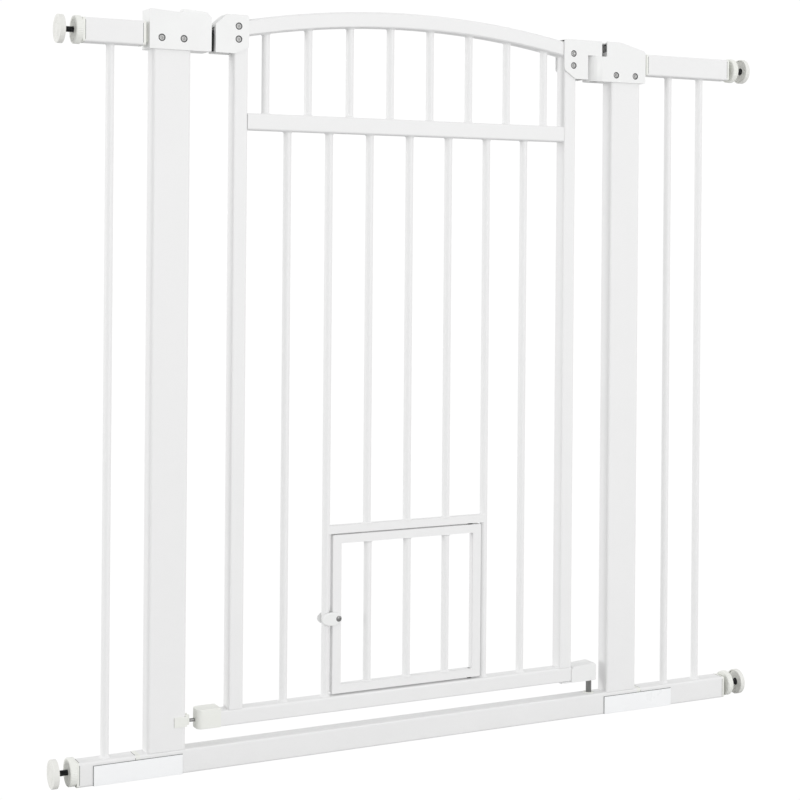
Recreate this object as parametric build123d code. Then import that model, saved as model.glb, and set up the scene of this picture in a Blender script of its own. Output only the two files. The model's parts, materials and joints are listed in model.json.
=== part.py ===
"""Extra-tall pressure-mounted safety gate with a small pet door, in millimetres.

Frame: origin on the floor under the middle of the walk-through, +Z up, +X towards the
hinge side, -Y towards the person who faces the latch's rivet side.
"""
from math import sqrt
import os

from build123d import *

# ---- fits ----
running = 0.06          # radial clearance of a turning or sliding shaft
loose = 0.3             # radial clearance of a shaft that only passes through
part_gap = 0.4          # air between neighbouring pieces that move past each other

# ---- U-frame: two flat posts on a threshold rail ----
frame_width = 776.3     # over the posts
post_width = 52.7
post_depth = 25.0
post_corner = 3.5
post_wall = 1.2
threshold_height = 32.4
threshold_wall = 1.5
threshold_past_latch_post = 12.8
threshold_past_hinge_post = 6.7

# ---- extension rails, bars and joint plates ----
top_rail_top = 1000.0
rail_height = 32.0
rail_depth = 25.0
rail_wall = 1.2
corner = 2.5            # outside corner radius of the rectangular tubes
latch_extension = 79.35              # length added at the latch side
hinge_extension = 158.15
bar_diameter = 11.0
bar_wall = 1.0
latch_extension_bar = 42.2           # bar's distance outside the threshold's end
hinge_extension_bars = (54.1, 112.9)
plug_collar = 3.3
plug_depth = 14.0
joint_collar = 3.4
joint_neck = 4.0        # slimmer neck between a top rail's collar and its housing
joint_plug_depth = 10.0
threshold_collar = 3.0
plate_length = 122.0
plate_height = 26.0
plate_thickness = 1.4
latch_plate_shift = 0.6              # plate's middle, from the joint
hinge_plate_shift = -2.2

# ---- pressure spindles ----
spindle_diameter = 8.0
pad_diameter = 37.5
pad_thickness = 7.5
pad_wall = 1.6
pad_floor = 2.5
disc_thickness = 2.0
nut_diameter = 37.2
nut_length = 9.5
pad_gap = 14.3          # air between hand nut and pad
latch_nut_gap = 0.2     # air between rail collar and hand nut
hinge_nut_gap = 5.2
spindle_inside = 48.0   # thread length inside the rail

# ---- gate panel ----
gate_width = 547.0
stile_width = 20.6
gate_depth = 22.0
gate_wall = 1.2
bottom_rail_bottom = 55.3
bottom_rail_height = 21.5
cross_rail_below = 138.2             # its underside, below the top rails' top
cross_rail_height = 22.6
arch_above = 35.5       # arch's highest point, above the top rails' top
arch_rise = 28.4        # from the stiles' outer edges to the highest point
arch_height = 21.8
lower_bar_side = 63.3   # first full bar's axis, from the stile
upper_bar_side = 30.0
lower_bar_count = 7
upper_bar_count = 8
lintel_bottom = 302.8
lintel_height = 11.0

# ---- pet door ----
pet_latch_gap = 3.4
pet_hinge_gap = 1.5
pet_top_gap = 2.0
pet_bottom_gap = 2.4
pet_stile_width = 13.0
pet_rail_height = 12.0
pet_depth = 11.0
pet_wall = 1.0
pet_bar_count = 3
pet_bar_pitch = 62.4
pet_pin_diameter = 4.5
pet_washer_diameter = 7.4
pet_washer = 1.4
pet_pin_inset = 15.5    # pivot's distance from the door's hinge-side edge
pet_latch_height = 184.5
pet_latch_length = 30.8
pet_latch_width = 18.6
pet_latch_nose = 4.9    # from the screw's axis to the near end of the oval
pet_latch_thickness = 3.2
pet_screw_inset = 5.2   # from the stile's inner edge
pet_screw_diameter = 3.0
pet_screw_head = 7.6
pet_boss_diameter = 6.0

# ---- latch housing, bolt and thumb slide ----
housing_half_depth = 16.0
housing_wall = 2.2
latch_housing_past_post = 6.0
latch_housing_length = 86.3
latch_housing_above = 14.4           # top, above the top rails' top
latch_housing_below = 36.0
latch_housing_ramp = 2.6             # extra height of the top's left end
latch_housing_ramp_length = 36.0
bolt_travel = 12.0
bolt_thickness = 6.0
bolt_height = 28.0
bolt_engagement = 11.0  # bolt's reach into the gate's bracket
carrier_width = 12.2
carrier_half_depth = 11.0
stem_half_depth = 5.0
tab_reach = 21.3        # thumb tab's overhang towards the post
tab_nose = 1.3          # and towards the gate
tab_half_depth = 8.0
tab_rise = 5.4
tab_fall = 2.8          # how much lower the tab's gate end is
latch_spring_diameter = 7.0
latch_spring_pocket = 8.6

# ---- hinge ----
hinge_from_stile = 38.15             # hinge axis outside the gate's hinge stile
hinge_pin_diameter = 8.4
spindle_head_diameter = 13.0
spindle_head = 2.4
hinge_knuckle_radius = 16.9
hinge_recess_radius = 19.9
hinge_housing_past_post = 7.45
hinge_housing_above = 15.2
hinge_housing_below = 45.4
hinge_shoulder = 11.7   # drop of the housing's top towards its outer end
hinge_shoulder_run = 46.0
arm_below = 7.5         # arm's underside, below the top rails' top
arm_past_axis = 6.35
gate_lift = 12.0
hinge_flat = 3.2        # half-width over the spindle's two flats
bush_flange = 1.2
bush_wall = 2.2
lower_pin_reach = gate_lift + 12.0   # lower pin below the threshold, long enough to stay in when lifted
hinge_spring_bore_gap = 0.8          # air round the spindle inside the spring
hinge_spring_wire = 2.5
hinge_spring_length = 24.0

# ---- gate brackets, end cap, pivot block and threshold catch ----
bracket_plate = 2.5
latch_bracket_reach = 27.5           # past the latch stile's outer edge
latch_bracket_above = 16.8
latch_bracket_below = 36.0
latch_bracket_rise = 15.0
latch_bracket_run = 16.5
hinge_bracket_below = 43.7
hinge_bracket_reach = 19.5
cap_reach = 44.9        # end cap's left end, past the latch stile's outer edge
cap_grip = 11.5         # bottom rail's length past the latch stile
cap_half_depth = 12.6
cap_end_radius = 8.0
cap_bottom = 55.4
cap_top = 81.5
catch_pin_diameter = 4.6
catch_pin_height = 66.6
catch_lip_reach = 7.6
catch_bottom = 62.4
catch_top = 75.6
catch_slot = 5.6
catch_tab = 16.0
block_bottom = 53.6
block_top = 79.6
block_half_depth = 12.6
block_past_axis = 5.0

# ---- rivets ----
rivet_shank = 5.0
rivet_head = 9.0
rivet_sink = 1.2
rivet_recess = 9.9
latch_rivet_below = 21.0             # below the top rails' top
hinge_rivet_below = 35.0
latch_rivet_places = (10.7, 41.4)    # from the post's outer edge
hinge_rivet_places = (6.9, 41.4)     # from the post's inner edge
bracket_rivet_inset = 5.8            # from the stile's outer edge
latch_bracket_rivets_below = (16.6, -1.0)
hinge_bracket_rivets_below = (24.0, 6.0)

# ---- places worked out from the sizes above ----
post_top = top_rail_top + 1
latch_post_outer = -frame_width / 2
latch_post_inner = latch_post_outer + post_width
hinge_post_outer = frame_width / 2
hinge_post_inner = hinge_post_outer - post_width
latch_joint = latch_post_outer - threshold_past_latch_post
hinge_joint = hinge_post_outer + threshold_past_hinge_post
top_rail_middle = top_rail_top - rail_height / 2
bottom_rail_middle = rail_height / 2
bottom_spindle_height = pad_diameter / 2      # the bottom pads just reach the floor
latch_rail_end = latch_joint - latch_extension
hinge_rail_end = hinge_joint + hinge_extension
latch_housing_left = latch_post_outer - latch_housing_past_post
latch_housing_right = latch_housing_left + latch_housing_length
latch_housing_bottom = top_rail_top - latch_housing_below
latch_housing_top = top_rail_top + latch_housing_above
hinge_housing_right = hinge_post_outer + hinge_housing_past_post
hinge_housing_bottom = top_rail_top - hinge_housing_below
hinge_housing_top = top_rail_top + hinge_housing_above
latch_collar = latch_housing_left - joint_neck
hinge_collar = hinge_housing_right + joint_neck
stile_outer = gate_width / 2
stile_inner = stile_outer - stile_width
bottom_rail_top = bottom_rail_bottom + bottom_rail_height
cross_rail_bottom = top_rail_top - cross_rail_below
cross_rail_top = cross_rail_bottom + cross_rail_height
arch_apex = top_rail_top + arch_above
arch_radius = (stile_outer ** 2 + arch_rise ** 2) / (2 * arch_rise)   # of its top edge
arch_centre = arch_apex - arch_radius
lower_bar_pitch = 2 * (stile_inner - lower_bar_side) / (lower_bar_count - 1)
upper_bar_pitch = 2 * (stile_inner - upper_bar_side) / (upper_bar_count - 1)
hinge_x = stile_outer + hinge_from_stile
arm_bottom = top_rail_top - arm_below
hinge_spring_inner = hinge_pin_diameter + 2 * hinge_spring_bore_gap
hinge_spring_outer = hinge_spring_inner + 2 * hinge_spring_wire
bracket_half_depth = gate_depth / 2 + bracket_plate
latch_bracket_left = -stile_outer - latch_bracket_reach
latch_bracket_bottom = top_rail_top - latch_bracket_below
latch_bracket_top = top_rail_top + latch_bracket_above
hinge_bracket_bottom = top_rail_top - hinge_bracket_below
bolt_tip = latch_bracket_left + bolt_engagement
bolt_bottom = latch_housing_bottom + housing_wall + 0.2
carrier_left = latch_post_inner + bolt_travel + part_gap
carrier_right = carrier_left + carrier_width
carrier_bottom = bolt_bottom + 1
carrier_top = top_rail_top + 1
bottom_rail_left = -stile_outer - cap_grip
jamb = 2 * lower_bar_pitch
pet_left = -jamb + bar_diameter / 2 + pet_latch_gap
pet_right = jamb - bar_diameter / 2 - pet_hinge_gap
pet_middle = (pet_left + pet_right) / 2
pet_half_width = (pet_right - pet_left) / 2
pet_bottom = bottom_rail_top + pet_bottom_gap
pet_top = lintel_bottom - pet_top_gap
pet_pivot_x = pet_right - pet_pin_inset
pet_latch_x = pet_left + pet_stile_width - pet_screw_inset


# ---------------------------------------------------------------- shape helpers
def block(x0, x1, y0, y1, z0, z1):
    """Box between two corners."""
    return Pos((x0 + x1) / 2, (y0 + y1) / 2, (z0 + z1) / 2) * Box(x1 - x0, y1 - y0, z1 - z0)


def outline(corners):
    """Flat face in X and Z from (x, z, radius) corners."""
    face = make_face(Polyline(*[(x, z) for x, z, r in corners], close=True))
    for x, z, r in corners:
        if r > 0:
            near = face.vertices().sort_by_distance((x, z, 0))[0]
            face = fillet(near, r)
    return face


def prism(corners, y0, y1):
    """Outline in X and Z, pushed out from y0 to y1."""
    return extrude(Plane.XZ.offset(-y1) * outline(corners), y1 - y0)


def rod_x(x0, x1, z, diameter, y=0):
    return Pos((x0 + x1) / 2, y, z) * Rot(0, 90, 0) * Cylinder(diameter / 2, x1 - x0)


def rod_y(x, z, y0, y1, diameter):
    return Pos(x, (y0 + y1) / 2, z) * Rot(90, 0, 0) * Cylinder(diameter / 2, y1 - y0)


def rod_z(x, z0, z1, diameter, y=0):
    return Pos(x, y, (z0 + z1) / 2) * Cylinder(diameter / 2, z1 - z0)


def tube_x(x0, x1, z_middle, height, depth, wall):
    """Rectangular tube that lies along X, with its corners rounded."""
    section = RectangleRounded(depth, height, corner)
    section -= RectangleRounded(depth - 2 * wall, height - 2 * wall, corner - wall)
    return extrude(Plane(origin=(x0, 0, z_middle), x_dir=(0, 1, 0), z_dir=(1, 0, 0)) * section, x1 - x0)


def tube_z(x_middle, z0, z1, width, depth, wall, radius=corner):
    """Rectangular tube that stands along Z, with its corners rounded."""
    section = RectangleRounded(width, depth, radius)
    section -= RectangleRounded(width - 2 * wall, depth - 2 * wall, radius - wall)
    return extrude(Pos(x_middle, 0, z0) * section, z1 - z0)


def round_bar(x, z0, z1):
    """Round tube bar that stands between two rails."""
    return rod_z(x, z0, z1, bar_diameter) - rod_z(x, z0, z1, bar_diameter - 2 * bar_wall)


def save(name, shape):
    """Write one sub-part; a list is one node of several separate solids."""
    solids = shape if isinstance(shape, list) else [shape]
    found = [s for piece in solids for s in piece.solids()]
    result = found[0] if len(found) == 1 else Compound(children=found)
    export_step(result, f"parts/{name}.step")


def rivet_cuts(places, half_depth):
    """Shank holes and sunk seats for through rivets, as (x, z) places."""
    cuts = []
    for x, z in places:
        cuts.append(rod_y(x, z, -half_depth - 1, half_depth + 1, rivet_shank))
        cuts.append(rod_y(x, z, -half_depth - 1, -half_depth + rivet_sink, rivet_recess))
        cuts.append(rod_y(x, z, half_depth - rivet_sink, half_depth + 1, rivet_recess))
    return cuts


def rivet(x, z, half_depth):
    """Through rivet with a flat head sunk in a seat at each side."""
    body = rod_y(x, z, -half_depth + 0.2, half_depth - 0.2, rivet_shank)
    for side in (-1, 1):
        outer = side * (half_depth - 0.2)
        inner = side * (half_depth - rivet_sink)
        head = rod_y(x, z, min(outer, inner), max(outer, inner), rivet_head)
        rim = head.edges().filter_by(GeomType.CIRCLE).group_by(Axis.Y)[0 if side < 0 else -1]
        body += fillet(rim, 0.35)
    return body


latch_housing_rivets = [(latch_post_outer + d, top_rail_top - latch_rivet_below) for d in latch_rivet_places]
hinge_housing_rivets = [(hinge_post_inner + d, top_rail_top - hinge_rivet_below) for d in hinge_rivet_places]
latch_gate_rivets = [(-stile_outer + bracket_rivet_inset, top_rail_top - d) for d in latch_bracket_rivets_below]
hinge_gate_rivets = [(stile_outer - bracket_rivet_inset, top_rail_top - d) for d in hinge_bracket_rivets_below]


# ---------------------------------------------------------------- U-frame
def make_posts():
    for name, outer, inner, rivets in (
        ("latch_post", latch_post_outer, latch_post_inner, latch_housing_rivets),
        ("hinge_post", hinge_post_inner, hinge_post_outer, hinge_housing_rivets),
    ):
        post = tube_z(
            (outer + inner) / 2, threshold_height, post_top, post_width, post_depth, post_wall, post_corner)
        for x, z in rivets:
            post -= rod_y(x, z, -post_depth, post_depth, rivet_shank)
        save(name, post)


def make_threshold():
    rail = tube_x(
        latch_joint + threshold_collar, hinge_joint - threshold_collar,
        threshold_height / 2, threshold_height, post_depth, threshold_wall)
    rail -= rod_z(hinge_x, threshold_height / 2, threshold_height + 1, hinge_pin_diameter + 2 * bush_wall)
    save("threshold_rail", rail)


def make_extension_rails():
    """Top rails run into the corner housings, bottom rails butt on the threshold's ends."""
    top = (top_rail_middle, rail_height, rail_depth, rail_wall)
    bottom = (bottom_rail_middle, rail_height, rail_depth, rail_wall)
    save("latch_top_rail", tube_x(latch_rail_end, latch_collar - joint_collar, *top))
    save("latch_bottom_rail", tube_x(latch_rail_end, latch_joint - joint_collar, *bottom))
    save("hinge_top_rail", tube_x(hinge_collar + joint_collar, hinge_rail_end, *top))
    save("hinge_bottom_rail", tube_x(hinge_joint + joint_collar, hinge_rail_end, *bottom))
    z0 = rail_height
    z1 = top_rail_top - rail_height
    save("latch_extension_bar", round_bar(latch_joint - latch_extension_bar, z0, z1))
    save("hinge_extension_bars", [round_bar(hinge_joint + d, z0, z1) for d in hinge_extension_bars])


def slab_x(x, side, length, depth, height, z, radius):
    """Rounded block along X from a face at x."""
    plane = Plane(origin=(x, 0, z), x_dir=(0, 1, 0), z_dir=(side, 0, 0))
    return extrude(plane * RectangleRounded(depth, height, radius), length)


def collar_plug(x_face, side, thickness, reach, z, height=rail_height, wall=rail_wall):
    """Moulded plug: a collar flush with the tube and a spigot that fills the tube's bore."""
    collar = slab_x(x_face, side, thickness, rail_depth, height, z, corner)
    spigot = slab_x(x_face, -side, reach, rail_depth - 2 * wall, height - 2 * wall, z, corner - wall)
    return collar + spigot


def make_plugs():
    """Outer plugs guide the spindles; joint plugs locate the rails on the U-frame."""
    guides = []
    for end, side in ((latch_rail_end, -1), (hinge_rail_end, 1)):
        for z, bore in ((bottom_rail_middle, bottom_spindle_height), (top_rail_middle, top_rail_middle)):
            plug = collar_plug(end, side, plug_collar, plug_depth, z)
            guides.append(plug - rod_x(end - 40, end + 40, bore, spindle_diameter + 2 * loose))
    save("spindle_plugs", guides)
    joints = []
    for face, side in ((latch_joint, 1), (hinge_joint, -1)):
        joints.append(collar_plug(face - side * joint_collar, side, joint_collar, joint_plug_depth, bottom_rail_middle))
        joints.append(collar_plug(
            face + side * threshold_collar, -side, threshold_collar, joint_plug_depth,
            threshold_height / 2, threshold_height, threshold_wall))
    for face, side in ((latch_collar, 1), (hinge_collar, -1)):
        plug = collar_plug(face - side * joint_collar, side, joint_collar, joint_plug_depth, top_rail_middle)
        joints.append(plug + slab_x(face, side, joint_neck, rail_depth - 8, rail_height - 8, top_rail_middle, corner))
    save("joint_plugs", joints)


def make_joint_plates():
    """Flat cover plates across the front of each bottom joint."""
    for name, middle in (
        ("latch_joint_plate", latch_joint + latch_plate_shift),
        ("hinge_joint_plate", hinge_joint + hinge_plate_shift),
    ):
        x0 = middle - plate_length / 2
        x1 = middle + plate_length / 2
        half = rail_depth / 2
        front = block(x0, x1, -half - plate_thickness, -half, 0, plate_height)
        rim = front.edges().filter_by(Axis.X).group_by(Axis.Y)[0] + front.edges().filter_by(Axis.Z).group_by(Axis.Y)[0]
        save(name, fillet(rim, 0.5))


# ---------------------------------------------------------------- corner housings
def latch_housing_outline(inset):
    left = latch_housing_left + inset
    right = latch_housing_right - inset
    bottom = latch_housing_bottom + inset
    top = latch_housing_top - inset
    cut = 4.5
    return [
        (left, bottom, 1.0), (right, bottom, 1.5), (right, top - cut, 1.0), (right - cut, top, 1.0),
        (left + latch_housing_ramp_length, top, 0), (left, top + latch_housing_ramp, 1.0),
    ]


def make_latch_housing():
    """Front and rear shells round the latch post's top, split on the middle plane."""
    deep = housing_half_depth
    inner = deep - housing_wall
    shell = prism(latch_housing_outline(0), -deep, deep)
    shell -= prism(latch_housing_outline(housing_wall), -inner, inner)
    for x, z in latch_housing_rivets:
        for y0, y1 in ((-inner, -post_depth / 2), (post_depth / 2, inner)):
            shell += rod_y(x, z, y0, y1, rivet_recess)
    half = post_depth / 2
    shell -= block(latch_post_outer, latch_post_inner, -half, half, latch_housing_bottom - 1, post_top)
    for cut in rivet_cuts(latch_housing_rivets, deep):
        shell -= cut
    shell -= block(
        latch_housing_right - 2 * housing_wall, latch_housing_right + 1,
        -bolt_thickness / 2 - part_gap, bolt_thickness / 2 + part_gap,
        bolt_bottom - part_gap, bolt_bottom + bolt_height + part_gap)
    shell -= block(
        carrier_left - bolt_travel - part_gap, carrier_right + part_gap,
        -stem_half_depth - part_gap, stem_half_depth + part_gap,
        carrier_top, latch_housing_top + 1)
    save("latch_housing_front", split(shell, Plane.XZ, keep=Keep.TOP))
    save("latch_housing_rear", split(shell, Plane.XZ, keep=Keep.BOTTOM))


def hinge_housing_outline(inset):
    """Knuckle end round the hinge axis at the left, sloping shoulder at the top right."""
    left = hinge_x + inset
    right = hinge_housing_right - inset
    bottom = hinge_housing_bottom + inset
    top = hinge_housing_top - inset
    return [
        (left, bottom, 0), (right, bottom, 2.0), (right, top - hinge_shoulder, 6.0),
        (right - hinge_shoulder_run, top, 50.0), (left, top, 0),
    ]


def make_hinge_housing():
    """Shells round the hinge post's top, with a knuckle under the gate's arm."""
    deep = housing_half_depth
    inner = deep - housing_wall
    tall = hinge_housing_top - hinge_housing_bottom
    knuckle_top = arm_bottom - part_gap
    shell = prism(hinge_housing_outline(0), -deep, deep)
    shell += rod_z(hinge_x, hinge_housing_bottom, knuckle_top, 2 * hinge_knuckle_radius)
    cavity = prism([
        (hinge_post_inner - 6, hinge_housing_bottom + housing_wall, 0),
        (hinge_housing_right - housing_wall, hinge_housing_bottom + housing_wall, 0),
        (hinge_housing_right - housing_wall, hinge_housing_top - hinge_shoulder - housing_wall, 4.0),
        (hinge_housing_right - hinge_shoulder_run, hinge_housing_top - housing_wall, 0),
        (hinge_post_inner - 6, hinge_housing_top - housing_wall, 0)], -inner, inner)
    spring_room = rod_z(
        hinge_x, hinge_housing_bottom + 3 * housing_wall,
        knuckle_top - housing_wall, hinge_spring_outer + 2)
    shell -= cavity
    shell -= spring_room
    shell -= rod_z(hinge_x, knuckle_top, hinge_housing_top + 1, 2 * hinge_recess_radius)
    arm_side = hinge_x + bracket_half_depth + part_gap
    shell -= block(hinge_x - tall, arm_side, -deep - 1, deep + 1, knuckle_top, hinge_housing_top + 1)
    shell -= rod_z(hinge_x, hinge_housing_bottom - 1, knuckle_top + 1, hinge_pin_diameter + 2 * running)
    shell -= rod_z(
        hinge_x, hinge_housing_bottom - 1, hinge_housing_bottom + spindle_head + part_gap,
        spindle_head_diameter + 2 * loose)
    half = post_depth / 2
    for x, z in hinge_housing_rivets:
        for y0, y1 in ((-inner, -half), (half, inner)):
            shell += rod_y(x, z, y0, y1, rivet_recess)
    shell -= block(hinge_post_inner, hinge_post_outer, -half, half, hinge_housing_bottom - 1, post_top)
    for cut in rivet_cuts(hinge_housing_rivets, deep):
        shell -= cut
    save("hinge_housing_front", split(shell, Plane.XZ, keep=Keep.TOP))
    save("hinge_housing_rear", split(shell, Plane.XZ, keep=Keep.BOTTOM))


def make_housing_rivets():
    places = latch_housing_rivets + hinge_housing_rivets
    save("housing_rivets", [rivet(x, z, housing_half_depth) for x, z in places])


# ---------------------------------------------------------------- latch bolt and thumb slide
def make_latch_slide():
    """Steel bolt moulded into a slide whose thumb tab sits on the housing."""
    middle = (bolt_bottom + bolt_bottom + bolt_height) / 2
    carrier = block(
        carrier_left, carrier_right, -carrier_half_depth, carrier_half_depth, carrier_bottom, carrier_top)
    carrier += block(
        carrier_left, carrier_right, -stem_half_depth, stem_half_depth,
        carrier_top - 1, latch_housing_top + 2)
    carrier -= rod_x(
        carrier_left - 1, carrier_left + latch_spring_pocket, middle, latch_spring_diameter + 2 * loose)
    foot = latch_housing_top + part_gap
    tab = prism([
        (carrier_left - tab_reach, foot, 0.6), (carrier_right + tab_nose, foot, 0.6),
        (carrier_right + tab_nose, foot + tab_rise - tab_fall, 1.0),
        (carrier_left - tab_reach, foot + tab_rise, 1.2)], -tab_half_depth, tab_half_depth)
    carrier += tab
    bolt_root = carrier_left + latch_spring_pocket + 1.5
    bolt = prism([
        (bolt_root, bolt_bottom, 0), (bolt_tip, bolt_bottom, 2.0),
        (bolt_tip, bolt_bottom + bolt_height, 2.0), (bolt_root, bolt_bottom + bolt_height, 0)],
        -bolt_thickness / 2, bolt_thickness / 2)
    save("thumb_slide", carrier - bolt)
    save("latch_bolt", bolt)


def make_latch_spring():
    """Spring behind the slide at its fully pressed length, as a plain tube."""
    middle = bolt_bottom + bolt_height / 2
    end = latch_post_inner + latch_spring_pocket
    spring = rod_x(latch_post_inner, end, middle, latch_spring_diameter)
    save("latch_spring", spring - rod_x(latch_post_inner, end, middle, latch_spring_diameter - 2.4))


# ---------------------------------------------------------------- hinge pieces
def make_hinge_spindle():
    """Turns in the housing's knuckle; its two flats drive the gate's arm, which lifts along it."""
    head_top = hinge_housing_bottom + spindle_head
    body = rod_z(hinge_x, head_top, hinge_housing_top - 3, hinge_pin_diameter)
    top = block(
        hinge_x - 10, hinge_x + 10, -10, 10, arm_bottom - part_gap, hinge_housing_top)
    top -= block(
        hinge_x - 10, hinge_x + 10, -hinge_flat, hinge_flat, arm_bottom - part_gap, hinge_housing_top)
    body -= top
    body += rod_z(hinge_x, hinge_housing_bottom, head_top, spindle_head_diameter)
    save("hinge_spindle", body)


def make_hinge_spring():
    """Closing spring round the spindle inside the knuckle, as a plain tube."""
    z0 = hinge_housing_bottom + 3 * housing_wall
    spring = rod_z(hinge_x, z0, z0 + hinge_spring_length, hinge_spring_outer)
    save("hinge_spring", spring - rod_z(hinge_x, z0, z0 + hinge_spring_length, hinge_spring_inner))


def make_lower_pivot():
    """Pin under the pivot block, turning and lifting in a flanged bush in the threshold."""
    flange_top = threshold_height + bush_flange
    bush = rod_z(hinge_x, threshold_height / 2, threshold_height, hinge_pin_diameter + 2 * bush_wall)
    bush += rod_z(hinge_x, threshold_height, flange_top, hinge_pin_diameter + 2 * bush_wall + 3)
    bush -= rod_z(hinge_x, 0, flange_top + 1, hinge_pin_diameter + 2 * running)
    save("pivot_bush", bush)
    pin = rod_z(hinge_x, threshold_height - lower_pin_reach, block_bottom + 12, hinge_pin_diameter)
    tip = pin.edges().filter_by(GeomType.CIRCLE).group_by(Axis.Z)[0]
    pin = chamfer(tip, 1.0)
    pin += rod_z(hinge_x, block_bottom - 1.6, block_bottom, hinge_pin_diameter + 4)
    save("pivot_pin", pin)
    right = hinge_x + block_past_axis
    body = prism([
        (stile_outer, block_bottom, 0), (right, block_bottom, 2.0),
        (right, block_top - 3, 3.0), (right - 3, block_top, 1.5),
        (stile_outer + 3, block_top - 2.8, 0), (stile_outer + 1, bottom_rail_top - 3, 0),
        (stile_outer, bottom_rail_top - 3, 0)],
        -block_half_depth, block_half_depth)
    body += block(
        stile_inner + 3, stile_outer, -block_half_depth, block_half_depth,
        block_bottom, bottom_rail_bottom)
    body += slab_x(
        stile_inner + 6, 1, stile_width - 5.5, gate_depth - 2 * gate_wall,
        bottom_rail_height - 2 * gate_wall, bottom_rail_bottom + bottom_rail_height / 2, corner - gate_wall)
    body -= rod_z(hinge_x, block_bottom - 1, block_bottom + 12, hinge_pin_diameter)
    save("pivot_block", body)


# ---------------------------------------------------------------- gate panel
def make_arch():
    """Rounded tube bent to the arch's radius and cut square at the stiles' outer edges."""
    middle = arch_radius - arch_height / 2
    section = RectangleRounded(gate_depth, arch_height, corner)
    section -= RectangleRounded(gate_depth - 2 * gate_wall, arch_height - 2 * gate_wall, corner - gate_wall)
    start = Plane(origin=(0, 0, arch_centre + middle), x_dir=(0, 1, 0), z_dir=(1, 0, 0)) * section
    axis = Axis((0, 0, arch_centre), (0, 1, 0))
    right = revolve(start, axis, 15)
    left = mirror(right, Plane.YZ)
    span = block(-stile_outer, stile_outer, -gate_depth, gate_depth, cross_rail_top, arch_apex + 5)
    rail = (right + left) & span
    for x, z in latch_gate_rivets + hinge_gate_rivets:
        rail -= rod_y(x, z, -gate_depth, gate_depth, rivet_shank)
    save("gate_arch_rail", rail)


def below_arch(shape):
    """Cut a stile or bar to the arch rail's underside."""
    return shape - (
        Pos(0, 0, arch_centre) * Rot(90, 0, 0) * (
            Cylinder(arch_radius + 60, 4 * gate_depth)
            - Cylinder(arch_radius - arch_height, 4 * gate_depth)))


def make_gate_frame():
    for name, side, rivets in (
        ("gate_latch_stile", -1, latch_gate_rivets), ("gate_hinge_stile", 1, hinge_gate_rivets)):
        middle = side * (stile_outer - stile_width / 2)
        stile = below_arch(tube_z(middle, bottom_rail_top, arch_apex, stile_width, gate_depth, gate_wall))
        for x, z in rivets:
            stile -= rod_y(x, z, -gate_depth, gate_depth, rivet_shank)
        save(name, stile)
    bottom = bottom_rail_bottom + bottom_rail_height / 2
    rail = tube_x(bottom_rail_left, stile_outer, bottom, bottom_rail_height, gate_depth, gate_wall)
    rail -= rod_z(pet_pivot_x, bottom, bottom_rail_top + 1, pet_pin_diameter + 2 * running)
    save("gate_bottom_rail", rail)
    cross = cross_rail_bottom + cross_rail_height / 2
    save("gate_cross_rail", tube_x(-stile_inner, stile_inner, cross, cross_rail_height, gate_depth, gate_wall))


def make_gate_bars():
    """Seven bars below the cross rail, eight short ones under the arch."""
    half = (lower_bar_count - 1) / 2
    places = [(i - half) * lower_bar_pitch for i in range(lower_bar_count)]
    full = [round_bar(x, bottom_rail_top, cross_rail_bottom) for x in places]
    save("latch_side_bars", full[:2])
    save("hinge_side_bars", full[-2:])
    lintel_top = lintel_bottom + lintel_height
    save("middle_bars", [round_bar(x, lintel_top, cross_rail_bottom) for x in places[2:-2]])
    half = (upper_bar_count - 1) / 2
    short = [(i - half) * upper_bar_pitch for i in range(upper_bar_count)]
    save("upper_bars", [below_arch(round_bar(x, cross_rail_top, arch_apex)) for x in short])


def make_lintel():
    """Flat bar between the two jamb bars, scooped to fit them, with the door's top pivot hole."""
    top = lintel_bottom + lintel_height
    lintel = block(-jamb, jamb, -bar_diameter / 2, bar_diameter / 2, lintel_bottom, top)
    for side in (-1, 1):
        lintel -= rod_z(side * jamb, lintel_bottom - 1, top + 1, bar_diameter)
    lintel = sorted(lintel.solids(), key=lambda s: s.volume)[-1]
    lintel -= rod_z(pet_pivot_x, lintel_bottom - 1, lintel_bottom + 8, pet_pin_diameter + 2 * running)
    save("pet_opening_lintel", lintel)


def make_latch_bracket():
    """Channel riveted on the latch stile, open at its left and bottom for the bolt."""
    left = latch_bracket_left
    right = -stile_inner
    bottom = latch_bracket_bottom
    top = latch_bracket_top
    rise = latch_bracket_rise
    run = latch_bracket_run
    plates = prism([
        (left, bottom, 1.0), (-stile_outer + 1.2, bottom, 3.0), (right, bottom + 9, 2.5),
        (right, top, 4.0), (left + run, top, 2.0), (left, top - rise, 1.0)],
        -bracket_half_depth, bracket_half_depth)
    slant = bracket_plate * sqrt(rise ** 2 + run ** 2) / run
    inner_top = top - bracket_plate
    room = prism([
        (left - run, bottom - 5, 0), (right + 5, bottom - 5, 0), (right + 5, inner_top, 0),
        (left + run * (rise - bracket_plate + slant) / rise, inner_top, 0),
        (left - run, top - 2 * rise - slant, 0)], -gate_depth / 2, gate_depth / 2)
    bracket = plates - room
    inner = bolt_thickness / 2 + part_gap + 0.2
    for y0, y1 in ((-gate_depth / 2, -inner), (inner, gate_depth / 2)):
        bracket += block(left + 1, -stile_outer, y0, y1, bottom + 1, top - rise - 2)
    for cut in rivet_cuts(latch_gate_rivets, bracket_half_depth):
        bracket -= cut
    save("latch_bracket", bracket)


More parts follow.
